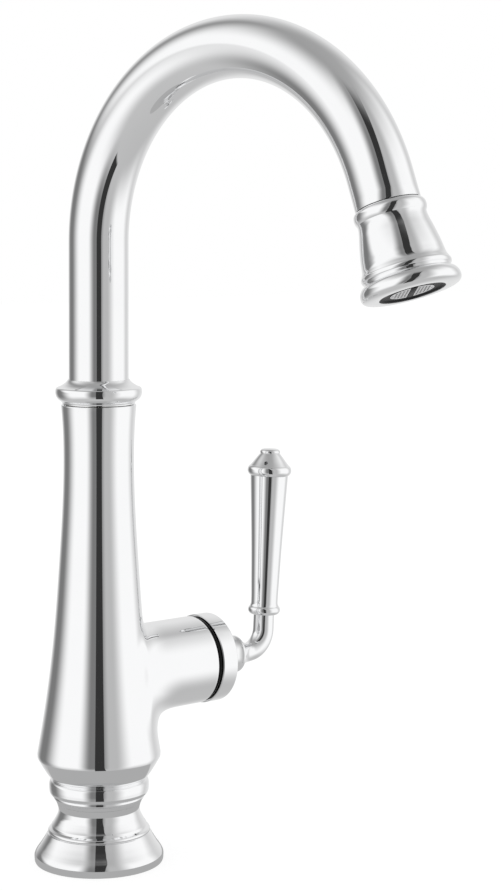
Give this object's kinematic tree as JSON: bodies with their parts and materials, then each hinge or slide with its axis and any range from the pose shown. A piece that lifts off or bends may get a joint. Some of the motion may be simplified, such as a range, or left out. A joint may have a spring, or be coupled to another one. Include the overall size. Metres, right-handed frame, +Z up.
{
  "type": "gooseneck bar faucet",
  "caption": "Chrome gooseneck bar faucet with a turned column, a side lever valve, a swivelling arched spout and a pull-down spray head.",
  "frame": {"origin": "centre of the foot on the deck plane, on the column's axis", "axes": "+Z up along the column, +X along the valve barrel to the handle, -Y to the front where the spout leans at rest, turned 8 degrees towards the handle"},
  "size_m": [0.1312, 0.2121, 0.4783],
  "materials": {
    "chrome": "polished chrome plate",
    "black_plastic": "glossy black moulded plastic",
    "rubber": "matte black rubber",
    "brass": "machined brass",
    "steel": "plain stainless steel",
    "screen": "perforated stainless screen",
    "copper": "drawn copper tube",
    "nylon": "moulded white plastic",
    "ceramic": "ground ceramic",
    "hose_braid": "grey braided hose sleeve"
  },
  "bodies": {
    "root": {"base_gasket": "rubber", "base_flange": "chrome", "column_body": "chrome", "threaded_shank": "brass", "rubber_washer": "rubber", "steel_washer": "steel", "mounting_nut": "brass", "hot_inlet_tube": "copper", "cold_inlet_tube": "copper", "outlet_tube": "copper", "outlet_connector": "brass", "lower_hose": "hose_braid", "hose_coupling": "brass", "lower_bearing": "nylon", "upper_bearing": "nylon", "swivel_screw": "steel", "cartridge_base": "nylon", "cartridge_housing": "nylon", "port_seals": "rubber", "fixed_disc": "ceramic", "retaining_nut": "brass", "bearing_ring": "black_plastic"},
    "spout": {"swivel_collar": "chrome", "spout_tube": "chrome", "spout_spigot": "brass", "spigot_o_rings": "rubber", "dock_insert": "black_plastic", "gooseneck_hose": "hose_braid"},
    "spray_head": {"hose_stretch": "hose_braid", "head_shell": "chrome", "head_core": "nylon", "hose_ferrule": "brass", "check_valve": "nylon", "outlet_seal": "rubber", "aerator_housing": "black_plastic", "outlet_screens": "screen"},
    "hub": {"handle_hub": "chrome", "hub_screw": "steel", "valve_rotor": "nylon", "pivot_pin": "steel"},
    "lever": {"lever_stem": "steel", "lever_arm": "chrome", "lever_grip": "chrome", "finial": "chrome", "finial_screw": "steel"},
    "mixing_disc": {"moving_disc": "ceramic", "disc_carrier": "nylon"}
  },
  "joints": [
    {"name": "spout_swivel", "type": "hinge", "parent": "root", "child": "spout", "pos_m": [0, 0, 0.1935], "axis": [0, 0, 1], "continuous": true},
    {"name": "spray_pull", "type": "slide", "parent": "spout", "child": "spray_head", "axis": [0.0469, -0.3338, -0.9415], "range_m": [0, 0.2], "stiffness_N_per_m": 20, "springref_m": -0.15, "deforming": ["hose_stretch"]},
    {"name": "handle_turn", "type": "hinge", "parent": "root", "child": "hub", "pos_m": [0.0527, 0, 0.0782], "axis": [1, 0, 0], "range_deg": [-45, 45]},
    {"name": "lever_tilt", "type": "hinge", "parent": "hub", "child": "lever", "pos_m": [0.06, 0, 0.0782], "axis": [0, 1, 0], "range_deg": [0, 20]},
    {"name": "disc_slide", "type": "slide", "parent": "hub", "child": "mixing_disc", "axis": [0, 0, 1], "range_m": [0, 0.00367]}
  ],
  "couplings": [
    {"joint": "disc_slide", "follows": "lever_tilt", "m_per_rad": 0.0105}
  ]
}
